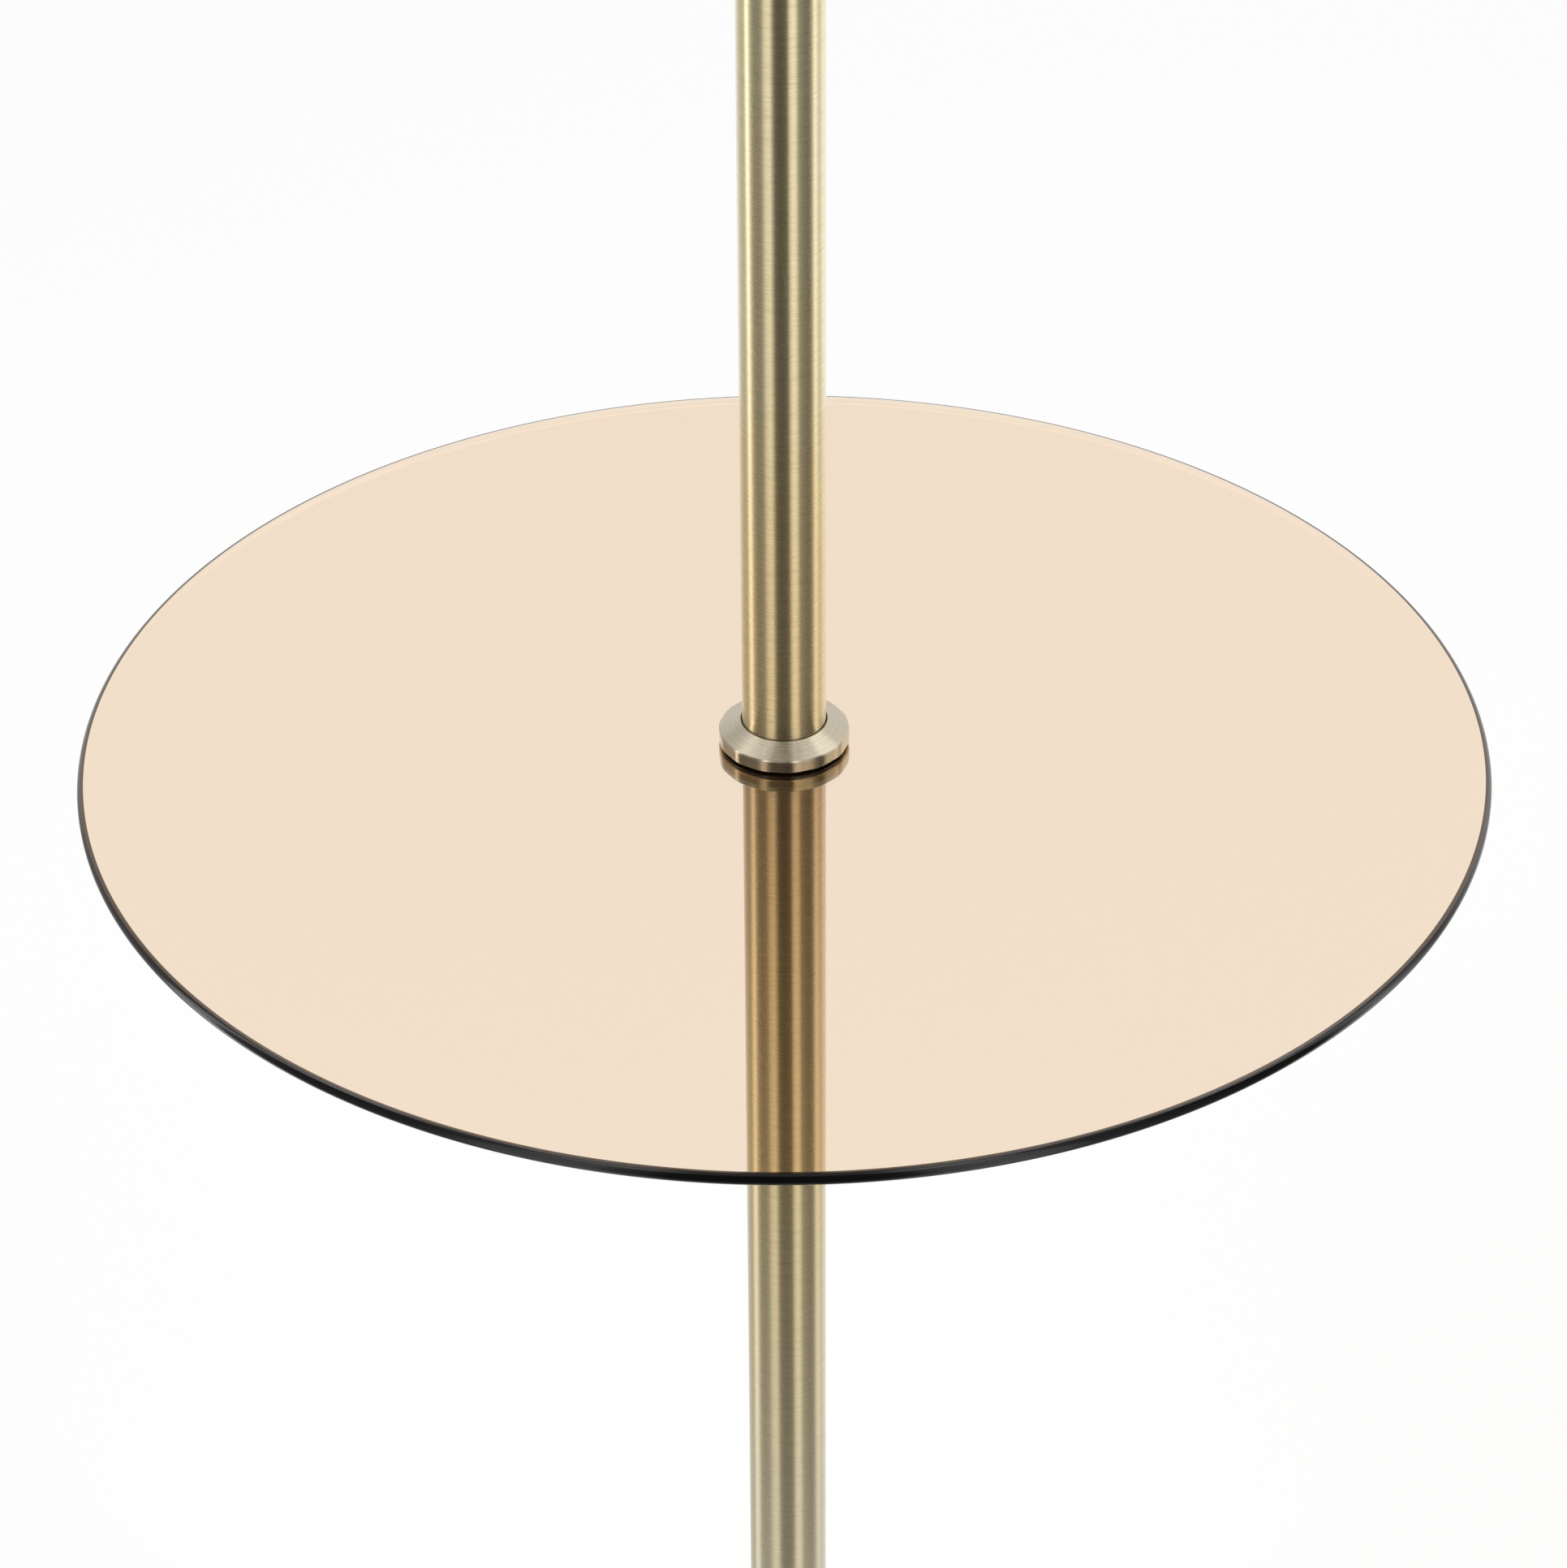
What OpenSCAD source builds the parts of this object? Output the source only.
// Floor lamp with a round glass table on its column.
// Millimetres, +Z up. The origin is on the floor under the middle of the foot, and the front is towards -Y.

/* [Column] */
// Outer diameter of the column tubes
pole_d = 25; // [22:0.5:28]
// Wall of the column tubes
pole_wall = 1.2; // [0.8:0.1:2]
// Height of the column's top end, where the lampholder stands
pole_top = 1240; // [1100:10:1400]

/* [Glass table] */
// Diameter of the glass
table_d = 420; // [360:5:500]
// Thickness of the glass
glass_t = 4; // [4:0.5:8]
// Height of the upper face of the glass above the floor
table_h = 550; // [450:5:650]

/* [Collars] */
// Diameter of the turned collars
collar_d = 39; // [36:0.5:46]
// Height of a collar's rim
rim_h = 4.2; // [3:0.1:6]
// Height of the cone from a collar's rim to its lip
cone_h = 3.2; // [2:0.1:5]
// Width of the dark gap between the lip and the tube
lip_gap = 0.4; // [0.3:0.1:0.8]
// Gap that the upper gasket leaves between the collar and the glass
upper_gap = 0.6; // [0.4:0.1:2]
// Gap that the lower gasket leaves between the glass and the collar
lower_gap = 0.2; // [0.2:0.1:1]

/* [Foot] */
// Diameter of the foot
base_d = 300; // [280:5:340]
// Height of the foot's cover at its middle
base_h = 22; // [22:0.5:28]
// Fall of the cover's top from its middle to its edge
base_crown = 2.5; // [1:0.5:3]
// Radius of the cover's rounded edge
base_edge_r = 6; // [3:0.5:8]

/* [Shade] */
// Diameter of the drum shade
shade_d = 400; // [350:10:420]
// Height of the drum shade
shade_h = 260; // [220:10:320]
// Thickness of the laminated cloth
shade_t = 1; // [0.6:0.1:1.6]

/* [Turn switch] */
// Diameter across the knob's grip
knob_d = 16; // [12:0.5:18]
// Length of the knob
knob_l = 14; // [10:0.5:18]

/* [Hidden] */

$fn = 96;
eps = 0.01;

// Clearances: touching, sliding and loose
fit = 0.02;
slip = 0.05;
play = 0.1;

// Threaded rods, their holes and their nuts
rod_r = 4.95;
rod_bore_r = 3.6;
tap_r = 5;
rod_hole_r = 5.2;
nut_flats = 14;
nut_t = 3;
nut_seat_r = 10;
rod_spare = 0.4;

// Column
pole_r = pole_d / 2;
bush_r = pole_r - pole_wall - slip;
bush_l = 20;
grip_l = 16;

// Collars: each holds the tube in a recess, which leaves a floor under the tube
collar_r = collar_d / 2;
lip_r = pole_r + lip_gap;
seat_r = pole_r + 0.15;
lip_drop = 1.2;
lip_step = 0.3;
rim_bevel = 0.35;
gasket_r = collar_r - 1.3;
gasket_recess = 0.4;
recess_depth = 3;

// Foot, from the floor up
base_r = base_d / 2;
pad_t = 2;
pad_inset = 4;
pad_hole_r = 6;
plate_t = 1;
plate_play = 0.3;
cover_t = 1.2;
cover_lip_z = 1;
boss_r = 24;
web_t = 6;
washer_t = 0.8;
washer_outer_r = 10;
pocket_r = 58;
pocket_draft = 2;
channel_w = 18;
channel_h = 10.4;
weight_r = base_r - 5;
weight_chamfer = 4;
weight_gap = 0.3;
weight_bottom = pad_t + plate_t;
weight_top = base_h - cover_t;
web_bottom = weight_top - web_t;
base_screw_at = 112;
base_screw_angles = [30, 150, 270];
base_screw_r = 2;
base_screw_l = 9;
base_screw_head_r = 3.8;
base_screw_head_h = 1.5;
edge_z = base_h - base_crown - base_edge_r;

// Cord inlet at the back
gland_z = 8.4;
gland_bore_r = 3.4;
gland_neck_r = 4.5;
gland_flange_r = 5.7;
gland_lug = 0.5;
gland_in = 4.5;
gland_out = 2;

// Terminal block under the weight's web
block_size = [28, 16, 9.8];
block_y = 24;
pole_pitch = 9;
block_bottom = web_bottom - block_size.z;
wire_hole_play = 0.4;
clamp_rows = [4, 12];
clamp_r = 1.6;
clamp_hole_r = 1.7;
clamp_depth = 3;
clamp_h = 2;
clamp_sink = 0.3;
fixing_r = 1.5;
fixing_head_r = 2.5;
fixing_head_h = 1.6;
fixing_sink = 0.4;
fixing_seat_h = 2;
fixing_thread = 3;
tap_depth = 4;
earth_y = -22;
earth_screw_r = 2;
earth_head_r = 3.6;
earth_head_h = 2.2;
tag_t = 0.8;
tag_r = 4.5;
tag_neck = 4.4;
tag_arm = [12, 3.4];
tag_arm_y = -17.5;
tag_bottom = web_bottom - tag_t;
wire_z = block_bottom + 3.8;
wire_r = 1.1;
wire_x = 1.35;
wire_sides = 8;

// Heights along the column
foot_tube_z = base_h + rim_h + cone_h - recess_depth;
glass_bottom = table_h - glass_t;
lower_collar_top = glass_bottom - lower_gap;
lower_tube_top = lower_collar_top - (rim_h + cone_h - recess_depth);
upper_collar_bottom = table_h + upper_gap;
upper_tube_z = upper_collar_bottom + rim_h + cone_h - recess_depth;
glass_hole_r = 7;

// Lampholder, heights above the column's top
holder_r = 19.5;
holder_wall = 1.2;
cap_floor = 2;
cap_flare_h = 9;
cap_h = 30;
switch_h = 17;
core_bottom = 24;
core_top = 34;
core_r = 17.8;
core_play = 0.2;
core_wire_at = [10, 4];
contact_well_r = 5;
contact_well_h = 3;
housing = [12, 18, 13];
housing_front = -10;
shoulder_r = 22.5;
shoulder_h = 2.5;
shoulder_edge = 0.5;
shell_r = holder_r + 0.1;
shell_top = 58;
shell_bevel = 1.5;
shell_mouth_r = 14.45;
shell_mouth_h = 2;
sleeve_r = 13.35;
sleeve_wall = 0.5;
sleeve_h = 20;
sleeve_hole_r = 6;
contact_foot_r = 3.5;
contact_foot_h = 1;
contact_post_r = 1.2;
contact_tip_r = 3;
contact_tip_h = 0.8;
washer_r = 29;
washer_hole_r = 20;
fitter_t = 1.5;
ring_r = 28;
ring_h = 7;
ring_rim_h = 2.2;
ring_edge = 0.6;
ring_neck = [[23.6, 3.4], [22.6, 6.5], [22.1, 7]];
scallop_count = 12;
scallop_r = 2;
scallop_at = ring_r + 1.2;

// Turn switch along -Y
spindle_r = 2.5;
rotor_r = 4;
rotor_l = 15;
rotor_end_gap = 0.5;
notch_r = 1.6;
notch_at = 4.8;
notch_l = 5;
bush_neck_r = 4;
bush_flange_r = 6;
bush_flange_t = 2;
knob_back = -23.5;
knob_collar_r = 6;
knob_collar_l = 3;
knob_grip_t = 5;
knob_hub_r = 4.6;
knob_hub_drop = 2.1;
knob_overlap = 0.1;
spindle_l = 34.5;

// Bulb, heights above the column's top
bulb_foot = 36;
bulb_cap_r = 13;
bulb_cap_top = 61;
bulb_neck_r = 14;
bulb_neck_h = 68;
bulb_r = 30;
bulb_belly_h = 112;
bulb_wall = 0.8;
bulb_cap_wall = 0.4;
bulb_cap_eyelet_r = 4.8;
bulb_skirt = [[3, 4.4], [0, 5.4]];
bulb_glass_in = 6;
bulb_glass_play = 0.2;
bulb_contact_r = 4.6;
bulb_contact_h = 1.6;
bulb_tip_r = 3;
bulb_tip_h = 2;
stem_profile = [[8, -1], [4.5, 5], [2.6, 14], [2.2, 34], [0, 35]];
stick_r = 1;
stick_l = 38;
stick_at = [6, 12];
stick_lean = 9;
stick_lead_r = 0.5;
stick_lead_l = 3.2;
stick_lead_at = [4, 10];
stick_lead_lean = 52;

// Shade wires
wire_ring_r = 1.6;
ring_gap = 0.1;
ring_path_r = shade_d / 2 - shade_t - wire_ring_r - ring_gap;
arm_angles = [90, 210, 330];
arm_start = 24.5;
arm_h = cap_h + shoulder_h - wire_ring_r;
arm_bend = [[114, 0], [128, -0.6], [140, -3]];
weld_gap = 0.15;
ring_inset = 0.4;

brass = [0.71, 0.62, 0.40];
steel = [0.62, 0.63, 0.64];
iron = [0.27, 0.27, 0.28];
rubber = [0.06, 0.06, 0.06];
tinted = [0.86, 0.68, 0.50, 0.55];
linen = [0.91, 0.89, 0.84];
ceramic = [0.90, 0.89, 0.86];

// Points of an arc about c, from angle a0 to a1 in n steps.
function arc(c, r, a0, a1, n = 10) =
    [for (i = [0:n]) let (a = a0 + (a1 - a0) * i / n) c + r * [cos(a), sin(a)]];

// A smooth line through points p, with n steps between two of them (Catmull-Rom).
function along(p, n) = let (last = len(p) - 1) concat(
    [for (i = [0:last - 1], j = [0:n - 1])
        let (t = j / n, a = p[max(i - 1, 0)], b = p[i], c = p[i + 1], d = p[min(i + 2, last)])
        0.5 * (2 * b + (c - a) * t + (2 * a - 5 * b + 4 * c - d) * t * t
            + (3 * b - a - 3 * c + d) * t * t * t)],
    [p[last]]);

function unit(v) = v / norm(v);

// A round wire swept along path. across is a direction that the path never points in.
module wire(path, r, across, sides = wire_sides) {
    last = len(path) - 1;
    rings = [for (i = [0:last])
        let (t = unit(path[min(i + 1, last)] - path[max(i - 1, 0)]),
             u = unit(cross(across, t)), v = cross(t, u))
        for (k = [0:sides - 1]) let (a = 360 * k / sides) path[i] + r * (cos(a) * u + sin(a) * v)];
    sides_faces = [for (i = [0:last - 1], k = [0:sides - 1])
        let (a = i * sides + k, b = i * sides + (k + 1) % sides)
        each [[a, a + sides, b + sides], [a, b + sides, b]]];
    ends = [[for (k = [0:sides - 1]) k], [for (k = [sides - 1:-1:0]) last * sides + k]];
    polyhedron(rings, concat(sides_faces, ends));
}

module lathe(points) rotate_extrude() polygon(points);

module ring(inner, outer, h) difference() {
    cylinder(r = outer, h = h);
    translate([0, 0, -1]) cylinder(r = inner, h = h + 2);
}

module hex_nut(h) difference() {
    cylinder(r = nut_flats / 2 / cos(30), h = h, $fn = 6);
    translate([0, 0, -1]) cylinder(r = tap_r, h = h + 2);
}

module hollow_rod(z0, z1) translate([0, 0, z0]) ring(rod_bore_r, rod_r, z1 - z0);

module tube_bush(z) translate([0, 0, z]) ring(tap_r, bush_r, bush_l);

module pole_tube(z0, z1) translate([0, 0, z0]) ring(pole_r - pole_wall, pole_r, z1 - z0);

// Turned collar on its flat face: bevelled rim, cone, lip, recess for the tube and one for the gasket.
module collar(recess) {
    top = rim_h + cone_h;
    floor_h = top - recess_depth;
    lathe([
        [rod_hole_r, recess], [gasket_r + play, recess], [gasket_r + play, 0],
        [collar_r - rim_bevel, 0], [collar_r, rim_bevel],
        [collar_r, rim_h - rim_bevel], [collar_r - rim_bevel, rim_h],
        [lip_r, top], [lip_r, top - lip_drop], [seat_r, top - lip_drop - lip_step],
        [seat_r, floor_h], [rod_hole_r, floor_h]]);
}

module gasket(gap) ring(glass_hole_r, gasket_r, gap + gasket_recess);

// ---- Foot ----

module base_pad() color(rubber) difference() {
    cylinder(r = base_r - pad_inset, h = pad_t);
    base_screw_places() translate([0, 0, -1]) cylinder(r = pad_hole_r, h = pad_t + 2);
}

module base_screw_places() for (a = base_screw_angles)
    rotate(a) translate([base_screw_at, 0, 0]) children();

module base_plate() color(steel) translate([0, 0, pad_t]) difference() {
    cylinder(r = base_r - cover_t - plate_play, h = plate_t);
    base_screw_places() translate([0, 0, -1]) cylinder(r = base_screw_r + plate_play, h = plate_t + 2);
}

module base_screws() color(steel) base_screw_places() {
    translate([0, 0, pad_t - base_screw_head_h]) cylinder(r = base_screw_head_r, h = base_screw_head_h);
    translate([0, 0, pad_t - eps]) cylinder(r = base_screw_r, h = base_screw_l);
}

module base_weight() {
    inner_r = rod_hole_r + play;
    slope_r = weight_r - weight_chamfer;
    fall = base_crown * (slope_r - boss_r) / (base_r - base_edge_r - boss_r);
    shoulder_z = weight_top - weight_gap - fall;
    color(iron) difference() {
        lathe([
            [inner_r, web_bottom], [pocket_r, web_bottom], [pocket_r + pocket_draft, weight_bottom],
            [weight_r, weight_bottom], [weight_r, shoulder_z - weight_chamfer], [slope_r, shoulder_z],
            [boss_r + 2, weight_top - weight_gap], [boss_r, weight_top], [inner_r, weight_top]]);
        translate([-channel_w / 2, pocket_r - 6, weight_bottom - 1])
            cube([channel_w, weight_r - pocket_r + 12, channel_h + 1]);
        base_screw_places() translate([0, 0, weight_bottom - 1])
            cylinder(r = base_screw_r + slip, h = base_screw_l + 2);
        translate([0, 0, web_bottom - 1]) {
            block_screw_places() cylinder(r = fixing_r + slip, h = tap_depth + 1);
            earth_place() cylinder(r = earth_screw_r + slip, h = tap_depth + 1);
        }
    }
}

module base_cover() color(brass) difference() {
    lathe(concat(
        [[base_r, cover_lip_z]],
        arc([base_r - base_edge_r, edge_z], base_edge_r, 0, 90),
        [[boss_r, base_h], [rod_hole_r + play, base_h],
         [rod_hole_r + play, weight_top], [boss_r, weight_top]],
        arc([base_r - base_edge_r, edge_z], base_edge_r - cover_t, 90, 0),
        [[base_r - cover_t, cover_lip_z]]));
    gland_place() translate([0, 0, -10]) cylinder(r = gland_neck_r + slip, h = 20);
}

module gland_place() translate([0, base_r, gland_z]) rotate([-90, 0, 0]) children();

// Snap bush: a flange on each side of the cover's wall, shaped to it, and a neck through it.
module cord_gland() color(rubber) difference() {
    union() {
        difference() {
            gland_place() translate([0, 0, -1]) cylinder(r = gland_flange_r, h = 1 + gland_out);
            cylinder(r = base_r + fit, h = 3 * gland_z);
        }
        intersection() {
            gland_place() translate([0, 0, -gland_in])
                cylinder(r = gland_flange_r - gland_lug, h = gland_in);
            cylinder(r = base_r - cover_t - fit, h = 3 * gland_z);
        }
        gland_place() translate([0, 0, -gland_in]) cylinder(r = gland_neck_r, h = gland_in + 1);
    }
    gland_place() translate([0, 0, -10]) cylinder(r = gland_bore_r, h = 20);
}

module base_collar() color(brass) translate([0, 0, base_h]) collar(0);

module base_nipple() color(steel) hollow_rod(
    web_bottom - washer_t - nut_t - rod_spare, foot_tube_z + grip_l);

module base_washer() color(steel) translate([0, 0, web_bottom - washer_t])
    ring(rod_hole_r, washer_outer_r, washer_t);

module base_nut() color(steel) translate([0, 0, web_bottom - washer_t - nut_t]) hex_nut(nut_t);

module block_pole_places() for (i = [-1:1]) translate([i * pole_pitch, 0, 0]) children();

module block_screw_places() for (i = [-1, 1])
    translate([i * pole_pitch / 2, block_y + block_size.y / 2, 0]) children();

module terminal_block() color(ceramic) difference() {
    translate([-block_size.x / 2, block_y, block_bottom]) cube(block_size);
    block_pole_places() {
        translate([0, block_y - 1, wire_z]) rotate([-90, 0, 0])
            cylinder(r = wire_r + wire_hole_play, h = block_size.y + 2);
        for (y = clamp_rows) translate([0, block_y + y, block_bottom - 1])
            cylinder(r = clamp_hole_r, h = clamp_depth + 1);
    }
    block_screw_places() translate([0, 0, block_bottom - 1]) {
        cylinder(r = fixing_r + play, h = block_size.z + 2);
        cylinder(r = fixing_head_r + play, h = fixing_seat_h + 1);
    }
}

module terminal_screws() color(brass) block_pole_places()
    for (y = clamp_rows) translate([0, block_y + y, block_bottom + clamp_sink])
        cylinder(r = clamp_r, h = clamp_h);

module block_screws() color(steel) block_screw_places() translate([0, 0, block_bottom + fixing_sink]) {
    cylinder(r = fixing_head_r, h = fixing_head_h);
    cylinder(r = fixing_r, h = block_size.z + fixing_thread);
}

module earth_place() translate([0, earth_y, 0]) children();

module earth_tag() color(brass) difference() {
    union() {
        earth_place() translate([0, 0, tag_bottom]) cylinder(r = tag_r, h = tag_t);
        translate([-tag_neck / 2, tag_arm_y, tag_bottom]) cube([tag_arm.x, tag_arm.y, tag_t]);
        translate([-tag_neck / 2, earth_y, tag_bottom]) cube([tag_neck, tag_arm_y - earth_y + 1, tag_t]);
    }
    earth_place() translate([0, 0, tag_bottom - 1]) cylinder(r = earth_screw_r + play, h = tag_t + 2);
}

module earth_screw() color(steel) earth_place() {
    translate([0, 0, tag_bottom - earth_head_h]) cylinder(r = earth_head_r, h = earth_head_h);
    translate([0, 0, tag_bottom - eps]) cylinder(r = earth_screw_r, h = tap_depth + 0.5);
}

// ---- Wires, held inside the foot, the column and the lampholder ----

// Route of a supply wire on one side, side = -1 or 1: block, bend under the rod, column, lampholder.
function foot_route(side) = [
    [side * pole_pitch, block_y + 3, wire_z], [side * pole_pitch, block_y - 2, wire_z],
    [side * 7, 15, 7.4], [side * 3.4, 8, 6.8], [side * 1.6, 2.6, 7.2], [side * wire_x, 0.2, 10]];

function head_route(side) = [
    [side * wire_x, 0, pole_top + 5], [side * 2.6, 0.6, pole_top + 7.4], [side * 6.2, 2, pole_top + 9],
    [side * 9.2, 3.4, pole_top + 12], [side * core_wire_at.x, core_wire_at.y, pole_top + 18],
    [side * core_wire_at.x, core_wire_at.y, pole_top + core_bottom + 3]];

module supply_wire(side) wire(concat(
    along(foot_route(side), 4),
    [[side * wire_x, 0, 14], [side * wire_x, 0, table_h]],
    along(head_route(side), 4)), wire_r, [1, 0, 0]);

module live_wire() color([0.36, 0.20, 0.12]) supply_wire(-1);

module neutral_wire() color([0.13, 0.30, 0.62]) supply_wire(1);

module earth_wire() color([0.40, 0.62, 0.18]) wire(along([
    [0, block_y + 3, wire_z], [0, block_y - 1.5, wire_z], [1.5, 19.5, 6.5], [6, 15.8, 4.6], [12.5, 10.5, 4.6],
    [15.5, 0, 5.2], [14, -9, 8.2], [11, -14, 11.4], [7.4, -15.8, tag_bottom - wire_r - 0.15],
    [4, -15.8, tag_bottom - wire_r - 0.02]], 4), wire_r, [0, 0, 1]);

// ---- Column and table ----

module lower_foot_bush() color(steel) tube_bush(foot_tube_z);

module lower_pole() color(brass) pole_tube(foot_tube_z, lower_tube_top);

module lower_head_bush() color(steel) tube_bush(lower_tube_top - bush_l);

module lower_collar() color(brass) translate([0, 0, lower_collar_top]) mirror([0, 0, 1])
    collar(gasket_recess);

module lower_gasket() color(rubber) translate([0, 0, lower_collar_top - gasket_recess])
    gasket(lower_gap);

// Round glass with a half-round polished edge and a drilled hole.
module glass_top() color(tinted) difference() {
    union() {
        translate([0, 0, glass_bottom]) cylinder(r = table_d / 2 - glass_t / 2, h = glass_t);
        translate([0, 0, glass_bottom + glass_t / 2]) rotate_extrude()
            translate([table_d / 2 - glass_t / 2, 0]) intersection() {
                circle(r = glass_t / 2);
                translate([-eps, -glass_t]) square([glass_t, 2 * glass_t]);
            }
    }
    translate([0, 0, glass_bottom - 1]) cylinder(r = glass_hole_r, h = glass_t + 2);
}

module hole_sleeve() color(ceramic) translate([0, 0, glass_bottom])
    ring(tap_r + play, glass_hole_r - play, glass_t);

module table_nipple() color(steel) hollow_rod(lower_tube_top - grip_l, upper_tube_z + grip_l);

module upper_gasket() color(rubber) translate([0, 0, table_h]) gasket(upper_gap);

module upper_collar() color(brass) translate([0, 0, upper_collar_bottom]) collar(gasket_recess);

module upper_foot_bush() color(steel) tube_bush(upper_tube_z);

module upper_pole() color(brass) pole_tube(upper_tube_z, pole_top);

module upper_head_bush() color(steel) tube_bush(pole_top - bush_l);

// ---- Lampholder ----

module at_head(h) translate([0, 0, pole_top + h]) children();

module at_switch(y) at_head(switch_h) translate([0, y, 0]) rotate([90, 0, 0]) children();

module head_nipple() color(steel) hollow_rod(pole_top - grip_l, pole_top + cap_floor + nut_t + rod_spare);

module head_nut() color(steel) at_head(cap_floor) hex_nut(nut_t);

// Cup that flares from the column's width to the holder's, with the hole for the switch.
module holder_cap() color(brass) difference() {
    at_head(0) lathe(concat(
        [[rod_hole_r, 0], [pole_r, 0]],
        [for (i = [1:8]) let (s = i / 8)
            [pole_r + (holder_r - pole_r) * sin(90 * s), cap_flare_h * (1 - cos(90 * s))]],
        [[holder_r, cap_h], [holder_r - holder_wall, cap_h]],
        [for (i = [8:-1:2]) let (s = i / 8)
            [pole_r - holder_wall + (holder_r - pole_r) * sin(90 * s),
             cap_floor + (cap_flare_h - cap_floor + 1) * (1 - cos(90 * s))]],
        [[nut_seat_r, cap_floor], [rod_hole_r, cap_floor]]));
    at_switch(housing_front) cylinder(r = bush_neck_r + slip, h = 20);
}

// Insulating body: a disc that carries the thread sleeve, and the switch's housing under it.
module holder_core() color(ceramic) difference() {
    union() {
        at_head(core_bottom) cylinder(r = core_r, h = core_top - core_bottom);
        at_head(core_bottom - housing.z) translate([-housing.x / 2, housing_front, 0])
            cube([housing.x, housing.y, housing.z + 1]);
    }
    at_switch(rotor_l + housing_front) cylinder(r = rotor_r + slip, h = rotor_l + 1);
    for (side = [-1, 1]) at_head(core_bottom - 1) translate([side * core_wire_at.x, core_wire_at.y, 0])
        cylinder(r = wire_r + core_play, h = 5);
    at_head(core_top - contact_well_h) cylinder(r = contact_well_r, h = contact_well_h + 1);
}

module thread_sleeve() color(brass) at_head(core_top) lathe([
    [sleeve_hole_r, 0], [sleeve_r + sleeve_wall, 0], [sleeve_r + sleeve_wall, sleeve_h], [sleeve_r, sleeve_h],
    [sleeve_r, sleeve_wall], [sleeve_hole_r, sleeve_wall]]);

module centre_contact() color(brass) at_head(core_top - contact_well_h) {
    reach = bulb_foot - core_top + contact_well_h - play;
    cylinder(r = contact_foot_r, h = contact_foot_h);
    cylinder(r = contact_post_r, h = reach - play);
    translate([0, 0, reach - contact_tip_h]) cylinder(r = contact_tip_r, h = contact_tip_h);
}

module holder_shell() color(ceramic) {
    bore_r = core_r + core_play;
    h = shell_top - cap_h;
    at_head(cap_h) lathe([
        [bore_r, 0], [shoulder_r, 0], [shoulder_r, shoulder_h - shoulder_edge],
        [shoulder_r - shoulder_edge, shoulder_h], [shell_r, shoulder_h], [shell_r, h - shell_bevel],
        [shell_r - shell_bevel, h], [shell_mouth_r, h], [shell_mouth_r, h - shell_mouth_h],
        [bore_r, h - shell_mouth_h - shell_bevel]]);
}

module shade_ring() color(ceramic) at_head(cap_h + shoulder_h + fitter_t) difference() {
    lathe(concat(
        [[holder_r + core_play, 0], [ring_r, 0], [ring_r, ring_rim_h],
         [ring_r - ring_edge, ring_rim_h + ring_edge]],
        ring_neck, [[holder_r + core_play, ring_h]]));
    for (i = [0:scallop_count - 1]) rotate(360 * i / scallop_count)
        translate([scallop_at, 0, -1]) cylinder(r = scallop_r, h = ring_h + 2);
}

// ---- Turn switch ----

module switch_bush() color(brass) difference() {
    union() {
        difference() {
            at_switch(-holder_r + 2) cylinder(r = bush_flange_r, h = 2 + bush_flange_t);
            at_head(0) cylinder(r = holder_r + fit, h = cap_h);
        }
        at_switch(housing_front) cylinder(r = bush_neck_r, h = holder_r + housing_front + 1);
    }
    at_switch(housing_front + 1) cylinder(r = spindle_r + slip, h = 30);
}

module switch_spindle() color(steel) at_switch(0) cylinder(r = spindle_r, h = spindle_l);

// Rotor with four notches for the quarter-turn clicks, turned on by the spindle.
module switch_rotor() color(iron) difference() {
    at_switch(rotor_l + housing_front - rotor_end_gap) cylinder(r = rotor_r, h = rotor_l - 2 * rotor_end_gap);
    at_switch(0) cylinder(r = spindle_r + eps, h = 30);
    for (a = [0:90:270]) at_switch(rotor_l + housing_front) rotate(a)
        translate([notch_at, 0, -1]) cylinder(r = notch_r, h = notch_l + 1);
}

// Knob with a flat two-sided grip on a round collar.
module switch_knob() color(brass) difference() {
    at_switch(knob_back) {
        grip_from = knob_collar_l - knob_overlap;
        cylinder(r = knob_collar_r, h = knob_collar_l);
        intersection() {
            cylinder(r = knob_d / 2, h = knob_l);
            union() {
                translate([-knob_d / 2, -knob_grip_t / 2, grip_from]) cube([knob_d, knob_grip_t, knob_l]);
                cylinder(r = knob_hub_r, h = knob_l - knob_hub_drop);
            }
        }
    }
    at_switch(knob_back + 1) cylinder(r = spindle_r + eps, h = spindle_l + knob_back + 1 + play);
}

// ---- Bulb ----

function bulb_profile(inset) = concat(
    [for (i = [0:10]) let (s = i / 10)
        [bulb_neck_r + (bulb_r - bulb_neck_r) * (1 - cos(180 * s)) / 2 - inset,
         bulb_neck_h + (bulb_belly_h - bulb_neck_h) * s]],
    [for (i = [1:11]) [cos(90 * i / 12), sin(90 * i / 12)] * (bulb_r - inset) + [0, bulb_belly_h]],
    [[0, bulb_belly_h + bulb_r - inset]]);

function reversed(p) = [for (i = [len(p) - 1:-1:0]) p[i]];

module bulb_contact() color(steel) at_head(bulb_foot) {
    cylinder(r = bulb_contact_r, h = bulb_contact_h);
    translate([0, 0, bulb_contact_h - play]) cylinder(r = bulb_tip_r, h = bulb_tip_h);
}

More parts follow.
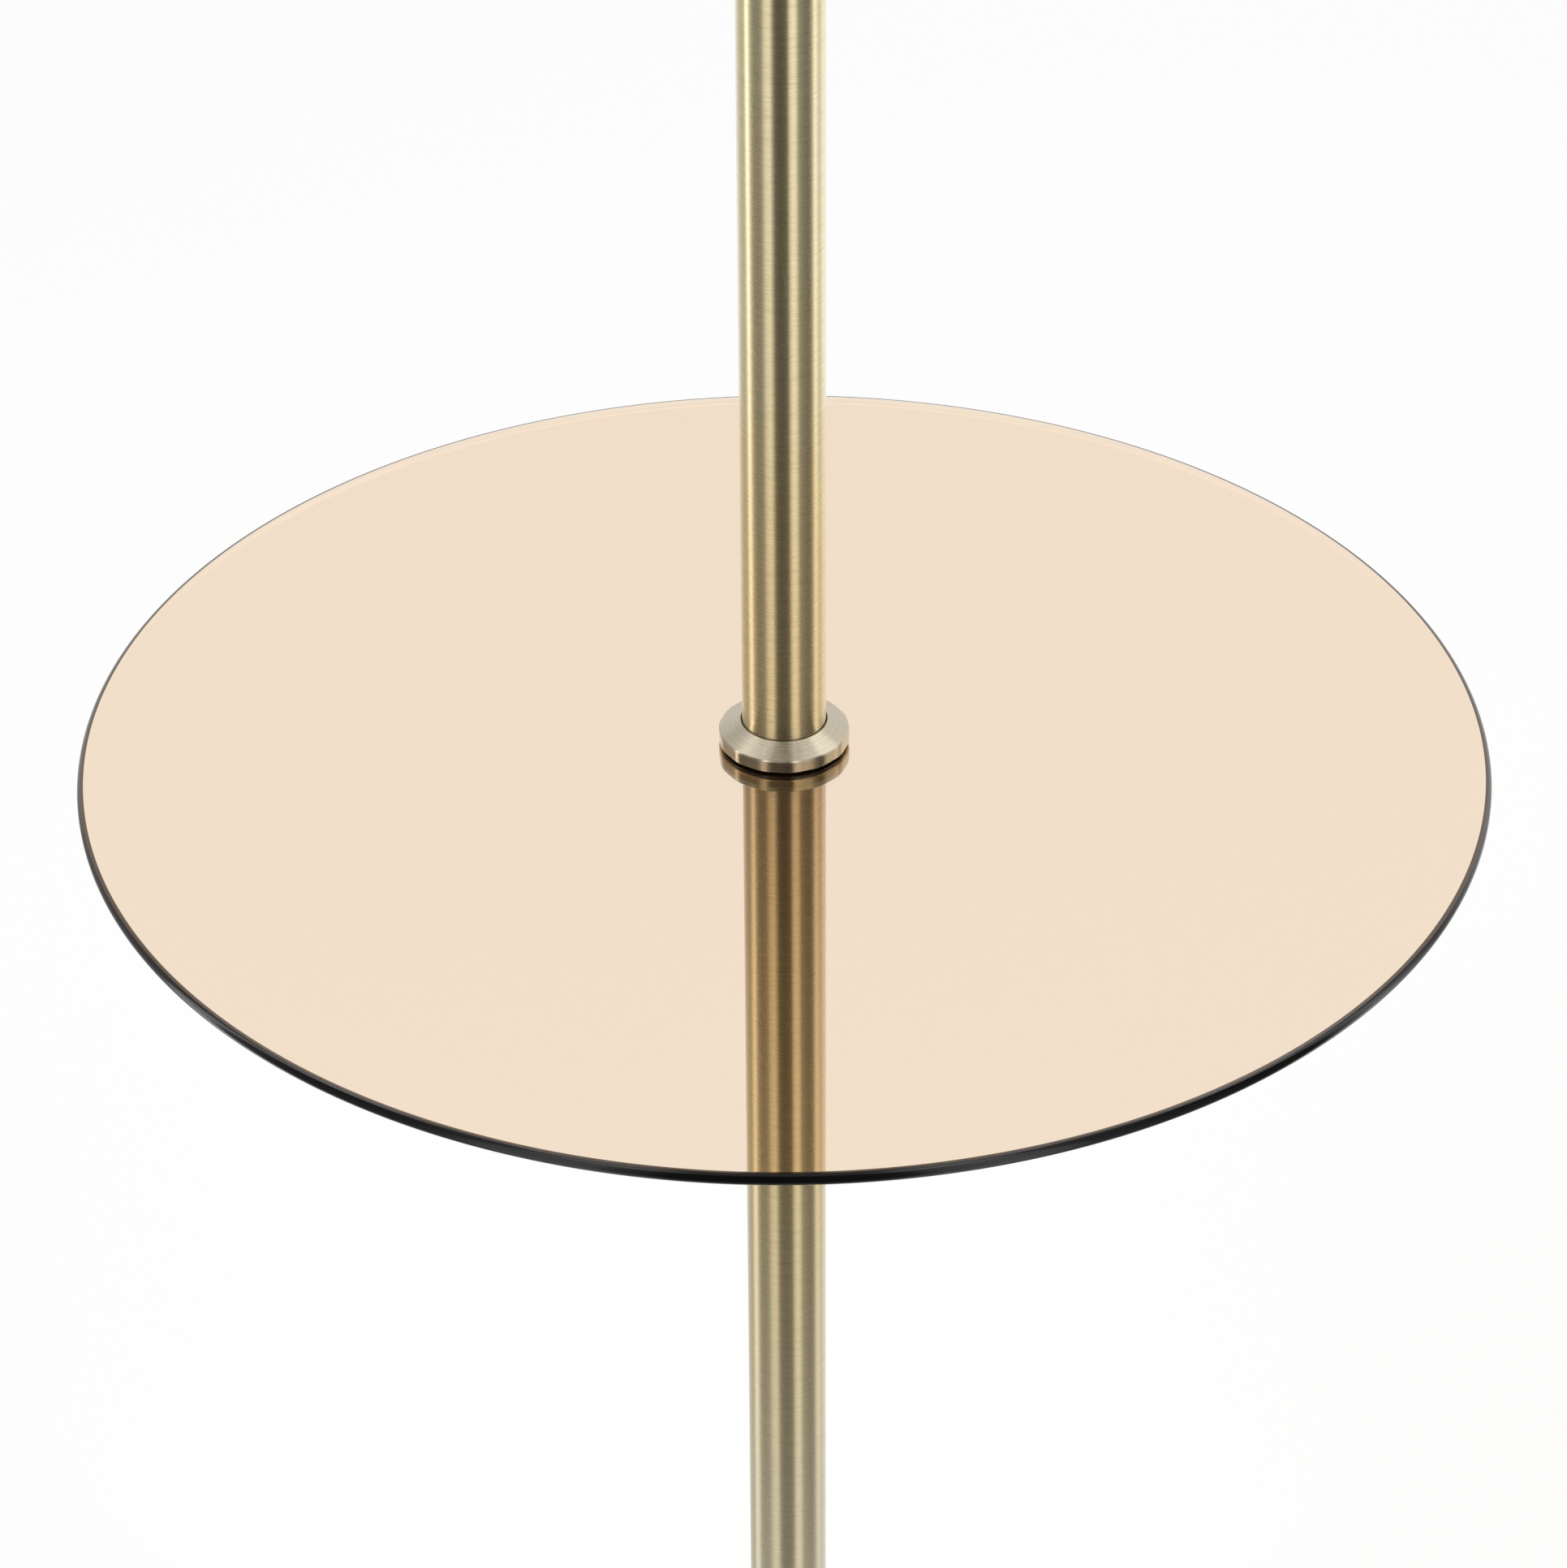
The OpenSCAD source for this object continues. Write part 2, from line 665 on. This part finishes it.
module bulb_cap() color(steel) {
    skirt_r = bulb_cap_r - bulb_cap_wall;
    h = bulb_cap_top - bulb_foot - bulb_contact_h;
    at_head(bulb_foot + bulb_contact_h) lathe(concat(
        [[bulb_cap_eyelet_r, 0]], [for (p = bulb_skirt) [bulb_cap_r - p.x, p.y]],
        [[bulb_cap_r, h], [skirt_r, h], [skirt_r, bulb_skirt[1].y + bulb_cap_wall],
         [bulb_cap_eyelet_r, bulb_skirt[0].y - 2]]));
}

module bulb_glass() color([0.95, 0.96, 0.96, 0.4]) {
    outer_r = bulb_cap_r - bulb_cap_wall - bulb_glass_play;
    inner_r = outer_r - bulb_wall;
    at_head(0) lathe(concat(
        [[inner_r, bulb_cap_top - bulb_glass_in], [outer_r, bulb_cap_top - bulb_glass_in],
         [outer_r, bulb_cap_top], [bulb_neck_r, bulb_cap_top + 1]],
        bulb_profile(0), reversed(bulb_profile(bulb_wall)),
        [[bulb_neck_r - bulb_wall, bulb_cap_top + 1.4], [inner_r, bulb_cap_top]]));
}

module bulb_stem() color([0.9, 0.92, 0.92, 0.5]) at_head(bulb_cap_top)
    lathe(concat([[0, -5], [bulb_cap_r - 1.6, -5]], stem_profile));

module bulb_filaments() for (a = [45:90:315]) rotate(a) at_head(bulb_cap_top) {
    color([0.96, 0.86, 0.45]) translate([stick_at.x, 0, stick_at.y]) rotate([0, stick_lean, 0])
        cylinder(r = stick_r, h = stick_l);
    color(steel) translate([stick_lead_at.x, 0, stick_lead_at.y]) rotate([0, stick_lead_lean, 0])
        cylinder(r = stick_lead_r, h = stick_lead_l);
}

// ---- Shade ----

module shade_washer() color(ceramic) at_head(cap_h + shoulder_h) ring(washer_hole_r, washer_r, fitter_t);

// Three wire arms, level under the washer and then straight down to the bottom ring.
module shade_arms() {
    bend = [for (p = arm_bend) [p.x, arm_h + p.y]];
    knee = bend[2];
    ring_mid = [ring_path_r, wire_ring_r + ring_inset];
    end = ring_mid - (wire_ring_r + weld_gap) * unit(ring_mid - knee);
    turn = along(concat(bend, [knee + 0.2 * (end - knee)]), 4);
    route = [for (p = concat([[arm_start, arm_h]], turn, [end])) [p.x, 0, p.y]];
    color(ceramic) at_head(0) for (a = arm_angles) rotate(a) wire(route, wire_ring_r, [0, 1, 0]);
}

module wire_ring(h) at_head(h) rotate_extrude() translate([ring_path_r, 0]) circle(r = wire_ring_r);

module shade_bottom_ring() color(ceramic) wire_ring(wire_ring_r + ring_inset);

module shade_top_ring() color(ceramic) wire_ring(shade_h - wire_ring_r - ring_inset);

module shade_drum() color(linen) at_head(0) ring(shade_d / 2 - shade_t, shade_d / 2, shade_h);

base_pad();
base_plate();
base_screws();
base_weight();
base_cover();
cord_gland();
base_collar();
base_nipple();
base_washer();
base_nut();
terminal_block();
terminal_screws();
block_screws();
earth_tag();
earth_screw();
live_wire();
neutral_wire();
earth_wire();
lower_foot_bush();
lower_pole();
lower_head_bush();
lower_collar();
lower_gasket();
glass_top();
hole_sleeve();
table_nipple();
upper_gasket();
upper_collar();
upper_foot_bush();
upper_pole();
upper_head_bush();
head_nipple();
head_nut();
holder_cap();
holder_core();
thread_sleeve();
centre_contact();
holder_shell();
shade_ring();
switch_bush();
switch_spindle();
switch_rotor();
switch_knob();
bulb_contact();
bulb_cap();
bulb_glass();
bulb_stem();
bulb_filaments();
shade_washer();
shade_arms();
shade_bottom_ring();
shade_top_ring();
shade_drum();
